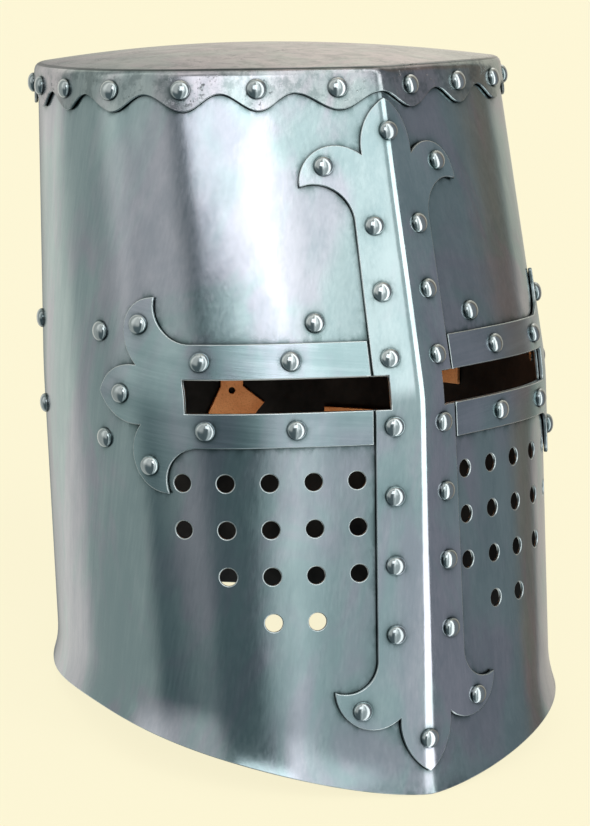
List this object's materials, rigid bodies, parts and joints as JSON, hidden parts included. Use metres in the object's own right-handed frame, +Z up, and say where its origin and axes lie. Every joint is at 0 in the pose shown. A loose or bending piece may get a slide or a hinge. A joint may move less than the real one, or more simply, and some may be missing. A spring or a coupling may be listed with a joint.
{
  "type": "great helm",
  "caption": "Keeled steel great helm with a flat crown, riveted cross with fleur ends, eye slits, breath holes and a leather liner band.",
  "frame": {"origin": "on the surface it stands on, under the middle of the helm's outline", "axes": "+Z up as it stands on its lower edge, -Y the way the face looks, +X the wearer's left"},
  "size_m": [0.2302, 0.314, 0.306],
  "materials": {
    "wall": "polished steel with a fine brushed grain, slightly blue",
    "crown": "polished steel, lightly pitted on the skirt",
    "plate": "satin to bright polished steel",
    "rivet": "polished domed heads",
    "leather": "matt russet leather"
  },
  "bodies": {
    "root": {"arm_left": "plate", "arm_right": "plate", "arm_rivet_left_1": "rivet", "arm_rivet_left_2": "rivet", "arm_rivet_left_3": "rivet", "arm_rivet_left_4": "rivet", "arm_rivet_left_5": "rivet", "arm_rivet_left_6": "rivet", "arm_rivet_left_7": "rivet", "arm_rivet_right_1": "rivet", "arm_rivet_right_2": "rivet", "arm_rivet_right_3": "rivet", "arm_rivet_right_4": "rivet", "arm_rivet_right_5": "rivet", "arm_rivet_right_6": "rivet", "arm_rivet_right_7": "rivet", "bar_rivet_keel_1": "rivet", "bar_rivet_keel_2": "rivet", "bar_rivet_left_1": "rivet", "bar_rivet_left_2": "rivet", "bar_rivet_left_3": "rivet", "bar_rivet_left_4": "rivet", "bar_rivet_left_5": "rivet", "bar_rivet_left_6": "rivet", "bar_rivet_left_7": "rivet", "bar_rivet_left_8": "rivet", "bar_rivet_left_9": "rivet", "bar_rivet_right_1": "rivet", "bar_rivet_right_2": "rivet", "bar_rivet_right_3": "rivet", "bar_rivet_right_4": "rivet", "bar_rivet_right_5": "rivet", "bar_rivet_right_6": "rivet", "bar_rivet_right_7": "rivet", "bar_rivet_right_8": "rivet", "bar_rivet_right_9": "rivet", "cross_bar": "plate", "crown": "crown", "liner": "leather", "liner_rivet_left_1": "rivet", "liner_rivet_left_2": "rivet", "liner_rivet_left_3": "rivet", "liner_rivet_left_4": "rivet", "liner_rivet_right_1": "rivet", "liner_rivet_right_2": "rivet", "liner_rivet_right_3": "rivet", "liner_rivet_right_4": "rivet", "side_rivet_left_1": "rivet", "side_rivet_right_1": "rivet", "wall": "wall"}
  },
  "joints": []
}
